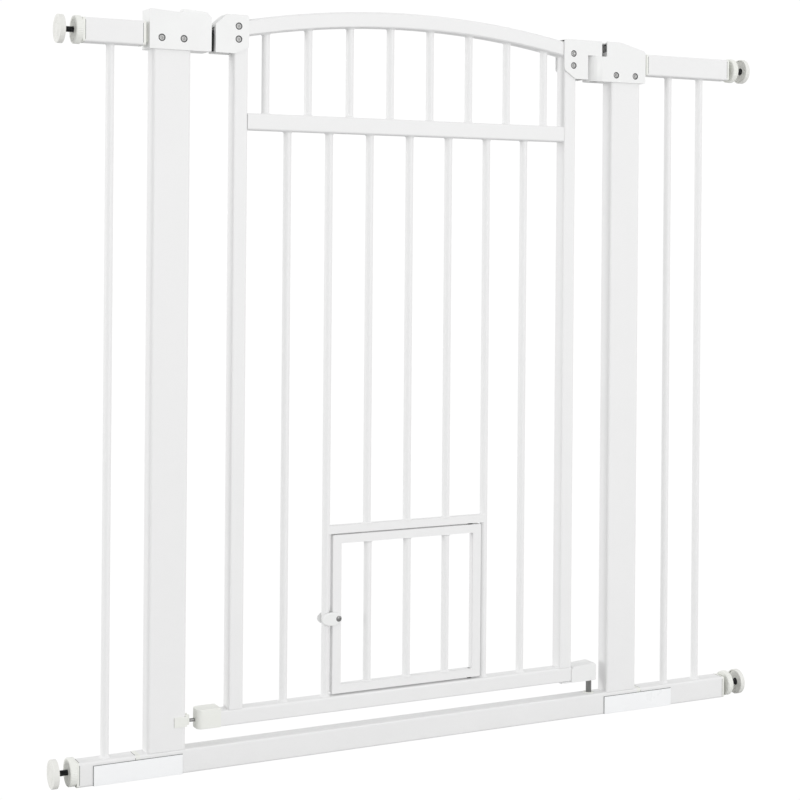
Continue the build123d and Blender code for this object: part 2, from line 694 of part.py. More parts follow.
def make_hinge_bracket():
    """Bracket riveted on the hinge stile; its arm drops over the hinge spindle."""
    left = stile_inner - 1.4
    right = stile_outer + hinge_bracket_reach
    arm_end = hinge_x + arm_past_axis
    bottom = hinge_bracket_bottom
    top = hinge_housing_top
    plates = prism([
        (left + 20, bottom, 9.0), (right, bottom, 1.0), (right, arm_bottom, 0),
        (arm_end, arm_bottom, 1.0), (arm_end, top, 1.0), (left, top, 5.0), (left, bottom + 13, 9.0)],
        -bracket_half_depth, bracket_half_depth)
    half = gate_depth / 2
    bracket = plates - block(left - 1, stile_outer, -half, half, bottom - 1, top - bracket_plate / 2)
    bracket -= block(stile_outer - 1, right - bracket_plate, -half, half, bottom - 1, arm_bottom)
    cross = rod_z(hinge_x, arm_bottom - 1, top - 1.5, hinge_pin_diameter + 2 * running)
    cross &= block(
        hinge_x - 10, hinge_x + 10, -hinge_flat - running, hinge_flat + running, arm_bottom - 1, top)
    bracket -= cross
    for cut in rivet_cuts(hinge_gate_rivets, bracket_half_depth):
        bracket -= cut
    save("hinge_bracket", bracket)


def make_gate_rivets():
    places = latch_gate_rivets + hinge_gate_rivets
    save("gate_rivets", [rivet(x, z, bracket_half_depth) for x, z in places])


def make_threshold_catch():
    """End cap with a steel pin that drops into an open clip on the latch post."""
    left = -stile_outer - cap_reach
    right = bottom_rail_left
    middle = bottom_rail_bottom + bottom_rail_height / 2
    body = block(left, right, -cap_half_depth, cap_half_depth, cap_bottom, cap_top)
    upright = body.edges().filter_by(Axis.Z).group_by(Axis.X)[0]
    body = fillet(upright, cap_end_radius)
    ends = body.edges().filter_by(Axis.Z, reverse=True).group_by(Axis.Z)
    body = fillet(ends[0] + ends[-1], 0.9)
    body += slab_x(
        right, 1, cap_grip + stile_width, gate_depth - 2 * gate_wall,
        bottom_rail_height - 2 * gate_wall, middle, corner - gate_wall)
    pin_tip = latch_post_inner + 2.2
    pin_root = right + cap_grip
    body -= rod_x(left - 1, pin_root, catch_pin_height, catch_pin_diameter)
    save("bolt_cap", body)
    pin = rod_x(pin_tip, pin_root, catch_pin_height, catch_pin_diameter)
    save("catch_pin", chamfer(pin.edges().group_by(Axis.X)[0], 0.8))
    half = post_depth / 2
    outer = half + 1.6
    x0 = latch_post_inner
    clip = block(x0, x0 + 1.6, -outer, outer, catch_bottom, catch_top)
    for side in (-1, 1):
        y0, y1 = sorted((side * half, side * outer))
        clip += block(x0 - catch_tab, x0 + 1.6, y0, y1, catch_bottom, catch_top)
        y0, y1 = sorted((side * catch_slot / 2, side * (catch_slot / 2 + 3.0)))
        lip = block(x0 + 1.6, x0 + catch_lip_reach, y0, y1, catch_bottom, catch_top)
        top = lip.edges().filter_by(Axis.X).group_by(Axis.Z)[-1]
        clip += fillet(top, 1.2)
    clip += block(
        x0 + 1.6, x0 + catch_lip_reach, -catch_slot / 2, catch_slot / 2,
        catch_bottom, catch_pin_height - catch_pin_diameter / 2 - part_gap)
    save("catch_clip", clip)


# ---------------------------------------------------------------- pet door
def make_pet_door():
    """Welded ring of flat tube with three round bars, swinging on two pins."""
    height = pet_top - pet_bottom
    middle = (pet_top + pet_bottom) / 2
    half = pet_depth / 2
    inset = pet_wall

    def face(y):
        return Plane(origin=(pet_middle, y, middle), x_dir=(1, 0, 0), z_dir=(0, -1, 0))

    outside = RectangleRounded(2 * pet_half_width, height, 1.5)
    opening = Rectangle(2 * (pet_half_width - pet_stile_width), height - 2 * pet_rail_height)
    ring = extrude(face(half) * (outside - opening), pet_depth)
    hollow = Rectangle(2 * (pet_half_width - inset), height - 2 * inset)
    hollow -= Rectangle(
        2 * (pet_half_width - pet_stile_width + inset), height - 2 * pet_rail_height + 2 * inset)
    ring -= extrude(face(half - inset) * hollow, pet_depth - 2 * inset)
    for z in (pet_bottom, pet_top):
        ring -= rod_z(pet_pivot_x, z - pet_rail_height, z + pet_rail_height, pet_pin_diameter)
    ring -= rod_y(pet_latch_x, pet_latch_height, -half - 1, half + 1, pet_boss_diameter + 2 * running)
    save("pet_door_frame", ring)
    half_count = (pet_bar_count - 1) / 2
    places = [pet_middle + (i - half_count) * pet_bar_pitch for i in range(pet_bar_count)]
    z0 = pet_bottom + pet_rail_height
    z1 = pet_top - pet_rail_height
    save("pet_door_bars", [round_bar(x, z0, z1) for x in places])
    low = rod_z(pet_pivot_x, pet_bottom - 8, pet_bottom + pet_rail_height, pet_pin_diameter)
    low += rod_z(pet_pivot_x, pet_bottom - pet_washer, pet_bottom, pet_washer_diameter)
    high = rod_z(pet_pivot_x, pet_top - pet_rail_height, pet_top + 7, pet_pin_diameter)
    high += rod_z(pet_pivot_x, pet_top, pet_top + pet_washer, pet_washer_diameter)
    save("pet_door_pins", [low, high])


def oval(y0, y1):
    """Long rounded finger plate, dished at its edge."""
    middle = pet_latch_x + pet_latch_nose - pet_latch_length / 2
    face = Plane(origin=(middle, y1, pet_latch_height), x_dir=(1, 0, 0), z_dir=(0, -1, 0))
    return extrude(face * Ellipse(pet_latch_length / 2, pet_latch_width / 2), y1 - y0)


def make_pet_latch():
    """Two ovals on one screw; they straddle the jamb bar and turn clear of it."""
    half = pet_depth / 2
    gap = max(half + part_gap, bar_diameter / 2) + part_gap
    deep = gap + pet_latch_thickness
    x = pet_latch_x
    z = pet_latch_height
    front = oval(-deep, -gap)
    rim = front.edges().group_by(Axis.Y)[0]
    front = fillet(rim, 1.4)
    front += rod_y(x, z, -gap, -half - part_gap, pet_boss_diameter + 1.6)
    front += rod_y(x, z, -half - part_gap, half + part_gap, pet_boss_diameter)
    front -= rod_y(x, z, -deep - 1, -deep + 1.2, pet_screw_head + 0.6)
    front -= rod_y(x, z, -deep, deep, pet_screw_diameter)
    rear = oval(gap, deep)
    rim = rear.edges().group_by(Axis.Y)[-1]
    rear = fillet(rim, 1.4)
    rear += rod_y(x, z, half + part_gap, gap, pet_boss_diameter + 1.6)
    rear -= rod_y(x, z, -deep, deep - 1.4, pet_screw_diameter)
    save("pet_latch_front", front)
    save("pet_latch_rear", rear)
    screw = rod_y(x, z, -deep + 1.2, deep - 1.4, pet_screw_diameter)
    head = rod_y(x, z, -deep - 0.6, -deep + 1.2, pet_screw_head)
    screw += fillet(head.edges().group_by(Axis.Y)[0], 0.6)
    screw -= rod_y(x, z, -deep - 1, -deep + 0.3, 3.2)
    save("pet_latch_screw", screw)


# ---------------------------------------------------------------- pressure spindles
def make_corner(name, end, side, nut_gap, z):
    """Wall pad, threaded spindle with its disc, and hand nut, built out from a rail's end."""
    nut_back = end + side * (plug_collar + nut_gap)
    nut_face = nut_back + side * nut_length
    pad_back = nut_face + side * pad_gap
    pad_face = pad_back + side * pad_thickness
    disc_front = pad_face - side * pad_floor
    disc_back = disc_front - side * disc_thickness

    def rod(a, b, diameter):
        return rod_x(min(a, b), max(a, b), z, diameter)

    pad = rod(pad_back, pad_face, pad_diameter)
    outer = pad.edges().filter_by(GeomType.CIRCLE).group_by(Axis.X)[-1 if side > 0 else 0]
    pad = fillet(outer, 1.8)
    pad -= rod(pad_back, disc_front, pad_diameter - 2 * pad_wall)
    save(f"{name}_pad", pad)
    spindle = rod(end - side * spindle_inside, disc_front, spindle_diameter)
    spindle += rod(disc_back, disc_front, pad_diameter - 2 * pad_wall)
    save(f"{name}_spindle", spindle)
    nut = rod(nut_back, nut_face, nut_diameter)
    nut = fillet(nut.edges().filter_by(GeomType.CIRCLE), 1.0)
    nut -= rod(nut_back - side, nut_face + side, spindle_diameter + 2 * running)
    save(f"{name}_hand_nut", nut)


def make_corners():
    for level, z in (("bottom", bottom_spindle_height), ("top", top_rail_middle)):
        make_corner(f"latch_{level}", latch_rail_end, -1, latch_nut_gap, z)
        make_corner(f"hinge_{level}", hinge_rail_end, 1, hinge_nut_gap, z)


os.makedirs("parts", exist_ok=True)
make_posts()
make_threshold()
make_extension_rails()
make_plugs()
make_joint_plates()
make_latch_housing()
make_hinge_housing()
make_housing_rivets()
make_latch_slide()
make_latch_spring()
make_hinge_spindle()
make_hinge_spring()
make_lower_pivot()
make_arch()
make_gate_frame()
make_gate_bars()
make_lintel()
make_latch_bracket()
make_hinge_bracket()
make_gate_rivets()
make_threshold_catch()
make_pet_door()
make_pet_latch()
make_corners()
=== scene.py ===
import json
from math import cos, pi, radians, sin, sqrt, tau

import bmesh
import bpy
from mathutils import Matrix, Vector


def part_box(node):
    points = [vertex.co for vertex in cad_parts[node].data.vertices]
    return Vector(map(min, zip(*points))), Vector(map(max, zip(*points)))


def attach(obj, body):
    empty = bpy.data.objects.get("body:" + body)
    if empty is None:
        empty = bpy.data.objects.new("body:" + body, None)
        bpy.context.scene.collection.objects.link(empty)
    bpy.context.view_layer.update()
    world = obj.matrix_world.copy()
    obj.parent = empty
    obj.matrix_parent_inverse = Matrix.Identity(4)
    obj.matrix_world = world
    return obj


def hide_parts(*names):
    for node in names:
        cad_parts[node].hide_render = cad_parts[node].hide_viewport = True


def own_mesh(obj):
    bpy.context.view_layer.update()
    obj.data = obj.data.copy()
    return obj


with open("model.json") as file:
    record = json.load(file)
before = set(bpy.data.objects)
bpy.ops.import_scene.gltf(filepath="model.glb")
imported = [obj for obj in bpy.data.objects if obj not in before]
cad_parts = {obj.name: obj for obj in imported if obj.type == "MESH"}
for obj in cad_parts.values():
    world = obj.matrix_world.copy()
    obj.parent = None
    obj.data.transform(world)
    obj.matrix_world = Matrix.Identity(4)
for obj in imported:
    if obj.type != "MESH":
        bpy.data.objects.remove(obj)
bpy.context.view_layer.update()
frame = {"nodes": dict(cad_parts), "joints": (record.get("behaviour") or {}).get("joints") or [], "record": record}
nodes = frame["nodes"]

# ---- Studio -------------------------------------------------------------
# A white paper sweep in a soft, even room light, with one round softbox in front and one
# at the left. The paper gives back about two thirds of its light, so undersides are greyer.
# The lens is a level short telephoto, shifted down.
camera_data = bpy.data.cameras.new("camera")
camera_data.sensor_width = 36.0
camera_data.lens = 77.26
camera_data.shift_y = -0.2024
camera_data.clip_end = 60.0
camera = bpy.data.objects.new("camera", camera_data)
camera.matrix_world = (
    Matrix.Translation((-1.12395, -2.1810, 0.7163))
    @ Matrix.Rotation(radians(-26.968), 4, "Z")
    @ Matrix.Rotation(radians(90.0), 4, "X")
    @ Matrix.Rotation(radians(0.467), 4, "Z")
)
scene = bpy.context.scene
scene.collection.objects.link(camera)
scene.camera = camera
scene.view_settings.view_transform = "Standard"
scene.view_settings.look = "None"


def linear(code):
    """sRGB hex to the linear colour that a shader socket takes."""
    parts = [int(code[i:i + 2], 16) / 255 for i in (1, 3, 5)]
    return [p / 12.92 if p <= 0.04045 else ((p + 0.055) / 1.055) ** 2.4 for p in parts] + [1.0]


def add(tree, kind, settings=None, **inputs):
    """Add a node, set its properties, and set or link its inputs."""
    node = tree.nodes.new(kind)
    for name, value in (settings or {}).items():
        setattr(node, name, value)
    for name, value in inputs.items():
        socket = node.inputs[name.replace("_", " ")]
        if isinstance(value, bpy.types.NodeSocket):
            tree.links.new(value, socket)
        else:
            socket.default_value = value
    return node


room_light = 0.87
paper_white = 1.02
world = bpy.data.worlds.new("soft_room")
scene.world = world
world.use_nodes = True
room = world.node_tree
room.nodes.clear()
seen = add(room, "ShaderNodeLightPath")
backdrop = add(room, "ShaderNodeBackground", Color=linear("#ffffff"), Strength=paper_white)
around = add(room, "ShaderNodeBackground", Color=linear("#ffffff"), Strength=room_light)
both = add(room, "ShaderNodeMixShader", Fac=seen.outputs["Is Camera Ray"])
room.links.new(around.outputs[0], both.inputs[1])
room.links.new(backdrop.outputs[0], both.inputs[2])
add(room, "ShaderNodeOutputWorld", Surface=both.outputs[0])

lamp_distance = 9.0
for name, bearing, power in (("front_softbox", -20, 200.0), ("left_softbox", 105, 205.0)):
    lamp_data = bpy.data.lights.new(name, "AREA")
    lamp_data.shape = "DISK"
    lamp_data.size = 2.4
    lamp_data.energy = power
    lamp = bpy.data.objects.new(name, lamp_data)
    turn = radians(bearing)
    lamp.location = (-lamp_distance * sin(turn), -lamp_distance * cos(turn), 1.6)
    lamp.rotation_euler = (Vector((0, 0, 0.5)) - lamp.location).to_track_quat("-Z", "Y").to_euler()
    scene.collection.objects.link(lamp)

paper = bpy.data.materials.new("white_paper_sweep")
paper.use_nodes = True
tree = paper.node_tree
tree.nodes.clear()
seen = add(tree, "ShaderNodeLightPath")
lit = add(tree, "ShaderNodeEmission", Color=linear("#ffffff"), Strength=paper_white)
matt = add(tree, "ShaderNodeBsdfDiffuse", Color=linear("#d2d2d2"))
both = add(tree, "ShaderNodeMixShader", Fac=seen.outputs["Is Camera Ray"])
tree.links.new(matt.outputs[0], both.inputs[1])
tree.links.new(lit.outputs[0], both.inputs[2])
add(tree, "ShaderNodeOutputMaterial", Surface=both.outputs[0])
reach = 14.0
floor_mesh = bpy.data.meshes.new("floor")
floor_mesh.from_pydata(
    [(-reach, -reach, 0), (reach, -reach, 0), (reach, reach, 0), (-reach, reach, 0)],
    [], [(0, 1, 2, 3)])
floor_mesh.materials.append(paper)
floor = bpy.data.objects.new("floor", floor_mesh)
floor.location.z = -0.0005
scene.collection.objects.link(floor)

# ---- Steel tubes ---------------------------------------------------------
# Posts, rails, stiles and bars are thin mild-steel tube, welded, then sprayed with white
# polyester powder and baked. The powder melts to a satin skin with a faint orange peel,
# a few millimetres from crest to crest, and lies a little thicker in some places.
mm = 0.001


def patterned(name, dark, light, patch, rough_low, rough_high, grain, height, **plain):
    """Opaque material: near colours and roughnesses in patches, a grain, and plain values."""
    material = bpy.data.materials.new(name)
    material.use_nodes = True
    tree = material.node_tree
    shader = tree.nodes["Principled BSDF"]
    where = add(tree, "ShaderNodeTexCoord").outputs["Object"]
    cloud = add(
        tree, "ShaderNodeTexNoise", Vector=where, Scale=1 / patch, Detail=3.0, Roughness=0.6)
    colour = add(tree, "ShaderNodeMix", {"data_type": "RGBA"})
    tree.links.new(cloud.outputs["Fac"], colour.inputs[0])
    colour.inputs[6].default_value = linear(dark)
    colour.inputs[7].default_value = linear(light)
    tree.links.new(colour.outputs[2], shader.inputs["Base Color"])
    rough = add(
        tree, "ShaderNodeMapRange", Value=cloud.outputs["Fac"],
        From_Min=0.3, From_Max=0.7, To_Min=rough_low, To_Max=rough_high)
    tree.links.new(rough.outputs[0], shader.inputs["Roughness"])
    fine = add(tree, "ShaderNodeTexNoise", Vector=where, Scale=1 / grain, Detail=2.0)
    bump = add(tree, "ShaderNodeBump", Strength=0.5, Distance=height, Height=fine.outputs["Fac"])
    tree.links.new(bump.outputs["Normal"], shader.inputs["Normal"])
    for socket, value in plain.items():
        shader.inputs[socket].default_value = value
    return material


orange_peel = 3.0 * mm
powder_coat = patterned(
    "white_powder_coat_on_steel", "#ebebeb", "#efefef", 60 * mm, 0.46, 0.54, orange_peel, 0.05 * mm,
    IOR=1.5)


def finish(names, material):
    """Give CAD pieces their material."""
    for name in names:
        nodes[name].data.materials.clear()
        nodes[name].data.materials.append(material)


same_point = 0.002 * mm


def soften(names, width):
    """Round the sharp edges of CAD pieces."""
    for name in names:
        weld = nodes[name].modifiers.new("weld", "WELD")
        weld.merge_threshold = same_point
        bevel = nodes[name].modifiers.new("edge_round", "BEVEL")
        bevel.width = width
        bevel.segments = 2
        bevel.limit_method = "ANGLE"
        bevel.angle_limit = radians(50)
        bevel.harden_normals = True


tubes = [
    part["node"] for part in frame["record"]["subparts"] if part["material_slot"] == "powder_coat"]
finish(tubes, powder_coat)

# ---- Welds ---------------------------------------------------------------
# Each round bar is welded all round where it meets a rail. The bead is a small rippled
# fillet, coated with the tube, so that it reads as a slightly wider foot on the bar.


def solids_of(name):
    """Lowest and highest corner of each separate solid in a CAD node."""
    mesh = bmesh.new()
    mesh.from_mesh(nodes[name].data)
    bmesh.ops.remove_doubles(mesh, verts=mesh.verts, dist=same_point)
    left = set(mesh.verts)
    boxes = []
    while left:
        edge = [left.pop()]
        group = list(edge)
        while edge:
            for link in edge.pop().link_edges:
                for vert in link.verts:
                    if vert in left:
                        left.remove(vert)
                        edge.append(vert)
                        group.append(vert)
        low = [min(v.co[i] for v in group) for i in range(3)]
        high = [max(v.co[i] for v in group) for i in range(3)]
        boxes.append((Vector(low), Vector(high)))
    mesh.free()
    return sorted(boxes, key=lambda b: (b[0].x, b[0].z))


def piece(name, verts, faces, material, body, sharp=40):
    """Mesh object that rides on a body, smooth except at its sharp edges."""
    mesh = bpy.data.meshes.new(name)
    mesh.from_pydata(verts, [], faces)
    mesh.materials.append(material)
    mesh.polygons.foreach_set("use_smooth", [True] * len(mesh.polygons))
    mesh.validate()
    mesh.set_sharp_from_angle(angle=radians(sharp))
    made = bpy.data.objects.new(name, mesh)
    scene.collection.objects.link(made)
    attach(made, body)
    return made


def rings_to_faces(rings, sides, start=0, closed=False):
    """Quads between rings of the same number of points."""
    faces = []
    for i in range(rings if closed else rings - 1):
        a = start + i * sides
        b = start + (i + 1) % rings * sides
        for j in range(sides):
            k = (j + 1) % sides
            faces.append((a + j, a + k, b + k, b + j))
    return faces


def bead(x, radius, foot, upward, verts, faces):
    """Weld ring round an upright bar; foot gives the rail's surface height at any x."""
    leg = 1.9 * mm
    sides = 40
    ripples = 13
    section = [(-0.3, 0.0), (1.0, 0.0), (0.72, 0.34), (0.34, 0.72), (0.0, 1.0), (-0.3, 1.0)]
    start = len(verts)
    for out, rise in section:
        for j in range(sides):
            angle = tau * j / sides
            ripple = 1 + 0.08 * sin(ripples * angle + 40 * x)
            r = radius + leg * out * ripple
            px = x + r * cos(angle)
            verts.append((px, r * sin(angle), foot(px) + upward * leg * rise * ripple))
    faces += rings_to_faces(len(section), sides, start, closed=True)


arch_low, arch_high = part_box("gate_arch_rail")
arch_tube = 21.8 * mm
arch_half = (arch_high[0] - arch_low[0]) / 2
arch_sag = arch_high[2] - arch_tube - arch_low[2]
arch_inner = (arch_half ** 2 + arch_sag ** 2) / (2 * arch_sag)


def arch_underside(x):
    """Height of the arched rail's lower face at x."""
    return arch_high[2] - arch_tube - arch_inner + sqrt(arch_inner ** 2 - x ** 2)


for name, body in (
    ("latch_extension_bar", "u_frame"), ("hinge_extension_bars", "u_frame"),
    ("latch_side_bars", "gate_panel"), ("middle_bars", "gate_panel"),
    ("hinge_side_bars", "gate_panel"), ("upper_bars", "gate_panel"),
    ("pet_door_bars", "pet_door"),
):
    verts, faces = [], []
    for low, high in solids_of(name):
        middle = (low.x + high.x) / 2
        radius = (high.x - low.x) / 2
        bead(middle, radius, lambda x: low.z, 1, verts, faces)
        top = arch_underside if name == "upper_bars" else (lambda x: high.z)
        bead(middle, radius, top, -1, verts, faces)
    piece("welds_" + name, verts, faces, powder_coat, body)

# ---- Rail plugs ------------------------------------------------------------
# Collared plugs of warm white nylon close the rails' ends and locate the joints. The
# moulded skin is matt, and its collar edge is broken, which leaves a fine line at each joint.
nylon = patterned(
    "warm_white_nylon_moulding", "#ebece7", "#eeefea", 25 * mm, 0.44, 0.52, 1.2 * mm, 0.03 * mm,
    IOR=1.53)
plugs = ["spindle_plugs", "joint_plugs"]
finish(plugs, nylon)
soften(plugs, 0.35 * mm)

# ---- Painted joint shade ------------------------------------------------------
# A fine dark line shows round each rail beside its plugs. It is drawn as the tube's bare cut
# edge, uncoated and darkened, which is a guess: it may only be a narrow gap. It is painted
# shade for the narrow gap at each joint, drawn as a thin band of dark metal round the tube.
gap_shade_colour = patterned(
    "painted_joint_gap_shade", "#5c5d5e", "#6c6d6e", 5 * mm, 0.5, 0.6, 0.6 * mm, 0.02 * mm,
    Metallic=1.0)


band_half = 0.3 * mm


def shade_line_ring(x, low, high, verts, faces):
    """Thin square band round a rail at x, just proud of its skin but not below the floor."""
    half = band_half
    buried = -0.2 * mm
    proud = 0.03 * mm
    corner = 3.2 * mm
    section = []
    for cx, cz, begin in (
        (high[1] - corner, high[2] - corner, 0), (low[1] + corner, high[2] - corner, 1),
        (low[1] + corner, low[2] + corner, 2), (high[1] - corner, low[2] + corner, 3),
    ):
        for i in range(7):
            turn = radians(90 * begin + 15 * i)
            section.append((cx, cz, cos(turn), sin(turn)))
    start = len(verts)
    sides = len(section)
    for along, lift in ((-half, proud), (half, proud), (half, buried), (-half, buried)):
        for cx, cz, u, v in section:
            r = corner + lift
            verts.append((x + along, cx + u * r, max(cz + v * r, 0)))
    faces += rings_to_faces(4, sides, start, closed=True)


verts, faces = [], []
for name in ("latch_top_rail", "latch_bottom_rail", "hinge_top_rail", "hinge_bottom_rail"):
    low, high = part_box(name)
    for x in (low[0] + band_half, high[0] - band_half):
        shade_line_ring(x, low, high, verts, faces)
# Painted shade: these dark bands stand for the shadow in the gap beside each plug.
piece("painted_rail_joint_shade", verts, faces, gap_shade_colour, "u_frame")

# ---- Joint plates ----------------------------------------------------------
# Bright white ABS cover plates across the front of each bottom joint. A dark line along
# their top and latch-side end is painted shade, the shadow where each plate meets the rail,
# drawn as a thin dark grey strip. A dark line along their top and latch-side end is drawn
# as the edge of grey foam tape, which is a guess.
plate_white = patterned(
    "bright_white_abs_sheet", "#f8f9fa", "#fbfcfd", 40 * mm, 0.26, 0.32, 2.0 * mm, 0.01 * mm,
    IOR=1.54)
finish(["latch_joint_plate", "hinge_joint_plate"], plate_white)
# Painted shade: a dark grey strip stands for the shadow line along each plate's top and end.
edge_shadow_paint = patterned(
    "painted_plate_edge_shade", "#7d7f80", "#8b8d8e", 4 * mm, 0.8, 0.9, 0.8 * mm, 0.1 * mm)


def block_mesh(low, high, verts, faces):
    """Box between two corners."""
    start = len(verts)
    for z in (low[2], high[2]):
        verts += [
            (low[0], low[1], z), (high[0], low[1], z), (high[0], high[1], z), (low[0], high[1], z)]
    six = (0, 3, 2, 1), (4, 5, 6, 7), (0, 1, 5, 4), (1, 2, 6, 5), (2, 3, 7, 6), (3, 0, 4, 7)
    faces += [tuple(start + i for i in face) for face in six]


for name in ("latch_joint_plate", "hinge_joint_plate"):
    low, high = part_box(name)
    edge = 0.7 * mm
    thick = 0.8 * mm
    verts, faces = [], []
    block_mesh(
        (low[0] - edge, high[1] - thick, low[2] + edge), (high[0], high[1], high[2] + edge),
        verts, faces)
    piece("painted_shade_strip_" + name, verts, faces, edge_shadow_paint, "u_frame")

# ---- Corner housings -------------------------------------------------------
# Two ABS shells round each post's top, split on the middle plane. The mould is spark
# eroded, so the skin has a fine even grain, and the edges are slightly rounded.
moulding = patterned(
    "white_abs_moulding", "#ecedec", "#efefef", 30 * mm, 0.42, 0.5, 0.9 * mm, 0.02 * mm,
    IOR=1.54)
shells = ["latch_housing_front", "latch_housing_rear", "hinge_housing_front", "hinge_housing_rear"]
brackets = ["latch_bracket", "hinge_bracket", "pivot_block"]
finish(shells + brackets, moulding)
soften(shells + brackets, 0.5 * mm)

# ---- Rivets ------------------------------------------------------------------
# Zinc-plated steel rivets hold the housings to the posts and the brackets to the stiles.
# Each head sits in a sunk seat; the plating is blotchy from the dip. The dark ring round
# each head is painted shade for the gap in its seat, drawn as a ring of black oxide steel.
# The dark ring round each head is drawn as a black washer, which is a guess.
zinc = patterned(
    "zinc_plated_steel", "#898989", "#9a9a99", 1.5 * mm, 0.36, 0.5, 0.6 * mm, 0.02 * mm,
    Metallic=1.0)

black_oxide = patterned(
    "black_oxide_steel", "#37383a", "#4a4b4d", 3 * mm, 0.42, 0.55, 0.7 * mm, 0.03 * mm,
    Metallic=1.0)


def turned(profile, sides, frame_of, verts, faces):
    """Revolve (along, radius) points about a line; a radius of 0 closes the end in a fan."""
    rings = []
    for along, radius in profile:
        if radius == 0:
            rings.append([len(verts)])
            verts.append(tuple(frame_of @ Vector((along, 0, 0))))
            continue
        rings.append(list(range(len(verts), len(verts) + sides)))
        for j in range(sides):
            angle = tau * j / sides
            rim = Vector((along, radius * cos(angle), radius * sin(angle)))
            verts.append(tuple(frame_of @ rim))
    for one, two in zip(rings, rings[1:]):
        for j in range(sides):
            k = (j + 1) % sides
            if len(one) == 1:
                faces.append((one[0], two[k], two[j]))
            elif len(two) == 1:
                faces.append((one[j], one[k], two[0]))
            else:
                faces.append((one[j], one[k], two[k], two[j]))


for name, body in (("housing_rivets", "u_frame"), ("gate_rivets", "gate_panel")):
    verts, faces = [], []
    ring_verts, ring_faces = [], []
    for low, high in solids_of(name):
        centre = (low + high) / 2
        head = (high.x - low.x) / 2 - 0.4 * mm
        half = (high.y - low.y) / 2
        sunk = 1.0 * mm
        shank = 2.5 * mm
        dome = 0.15 * mm
        one_end = [
            (half - dome, 0), (half - dome, 0.35 * head), (half, 0.42 * head),
            (half - 0.5 * dome, 0.8 * head), (half - 2 * dome, 0.95 * head),
            (half - 3.5 * dome, head), (half - sunk, head), (half - sunk, shank)]
        outline = one_end + [(-along, radius) for along, radius in reversed(one_end)]
        along_y = Matrix.Translation(centre) @ Matrix.Rotation(radians(90), 4, "Z")
        turned(outline, 48, along_y, verts, faces)
        for end in (-1, 1):
            seat_shade_profile = [(0.4, 0.1), (0.4, 0.8), (1.0, 0.8), (1.0, 0.1), (0.4, 0.1)]
            turned(
                [(end * (half - deep * mm), head + wide * mm) for deep, wide in seat_shade_profile],
                48, along_y, ring_verts, ring_faces)
    rivets = piece(name.replace("_", "_set_"), verts, faces, zinc, body)
    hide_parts(name)
    # Painted shade: black rings in each rivet seat stand for the shadow of the gap round the head.
    piece("painted_shade_rings_" + name, ring_verts, ring_faces, black_oxide, body)

# ---- Thumb slide, bolt and spring -------------------------------------------
# The moulded slide carries a black steel bolt; seven low ridges on its tab give the thumb
# a grip. A coil spring of drawn wire behind the slide pushes the bolt towards the gate.
finish(["thumb_slide"], moulding)
soften(["thumb_slide"], 0.35 * mm)
finish(["latch_bolt"], black_oxide)
soften(["latch_bolt"], 0.3 * mm)

slide_low, slide_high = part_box("thumb_slide")
tab_fall = 2.8 * mm
tab_length = slide_high[0] - slide_low[0]
verts, faces = [], []
for i in range(7):
    x = slide_low[0] + (6 + 3.6 * i) * mm
    z = slide_high[2] - tab_fall * (x - slide_low[0]) / tab_length
    across = Matrix.Translation((x, 0, z - 0.35 * mm)) @ Matrix.Rotation(radians(90), 4, "Z")
    turned(
        [(-6.4 * mm, 0), (-6.2 * mm, 0.5 * mm), (-5.8 * mm, 0.75 * mm), (5.8 * mm, 0.75 * mm),
         (6.2 * mm, 0.5 * mm), (6.4 * mm, 0)], 16, across, verts, faces)
piece("thumb_ridges", verts, faces, moulding, "latch_slide")

wire_steel = patterned(
    "drawn_spring_wire", "#8e9093", "#a9abae", 1.0 * mm, 0.28, 0.36, 0.4 * mm, 0.01 * mm,
    Metallic=1.0)


def coil(name, place, length, radius, wire, turns, material, body):
    """Round wire wound round the local X axis, with flat closed ends."""
    steps = 28 * turns
    sides = 12
    verts, faces = [], []
    for i in range(steps + 1):
        share = i / steps
        angle = tau * turns * share
        along = wire + (length - 2 * wire) * share
        centre = Vector((along, radius * cos(angle), radius * sin(angle)))
        out = Vector((0, cos(angle), sin(angle)))
        for j in range(sides):
            turn = tau * j / sides
            skin = out * wire * cos(turn) + Vector((wire * sin(turn), 0, 0))
            verts.append(tuple(place @ (centre + skin)))
    faces += rings_to_faces(steps + 1, sides)
    faces += [tuple(range(sides - 1, -1, -1)), tuple(steps * sides + j for j in range(sides))]
    return piece(name, verts, faces, material, body, 60)


low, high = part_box("latch_spring")
travel = max(j["range_m"][1] for j in frame["joints"] if j["name"] == "latch_slide_travel")
pressed = high[0] - low[0]
working = pressed + travel
wire = 0.55 * mm
place = Matrix.Translation((low[0], 0, (low[2] + high[2]) / 2))
radius = (high[2] - low[2]) / 2 - wire
spring = coil("latch_coil", place, working, radius, wire, 7, wire_steel, "u_frame")
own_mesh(spring)
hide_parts("latch_spring")

# ---- Hinge -----------------------------------------------------------------
# A bright steel spindle turns in the housing's knuckle, with a stout closing spring round
# it; under the gate a steel pin stands in a flanged nylon bush in the threshold.
finish(["hinge_spindle", "pivot_pin"], zinc)
soften(["pivot_pin"], 0.2 * mm)
finish(["pivot_bush"], nylon)
low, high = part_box("hinge_spring")
wire = 1.2 * mm
foot = Matrix.Translation(((low[0] + high[0]) / 2, 0, low[2]))
upright = foot @ Matrix.Rotation(radians(-90), 4, "Y")
radius = (high[0] - low[0]) / 2 - wire
closer = coil("hinge_coil", upright, high[2] - low[2], radius, wire, 8, wire_steel, "u_frame")
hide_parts("hinge_spring")

# ---- End cap and threshold catch ----------------------------------------------
# The bottom rail's nylon end cap holds a zinc-plated pin, which drops into an open clip
# of the same nylon on the latch post.
catch_parts = ["bolt_cap", "catch_clip"]
finish(catch_parts, nylon)
soften(catch_parts, 0.3 * mm)
finish(["catch_pin"], zinc)

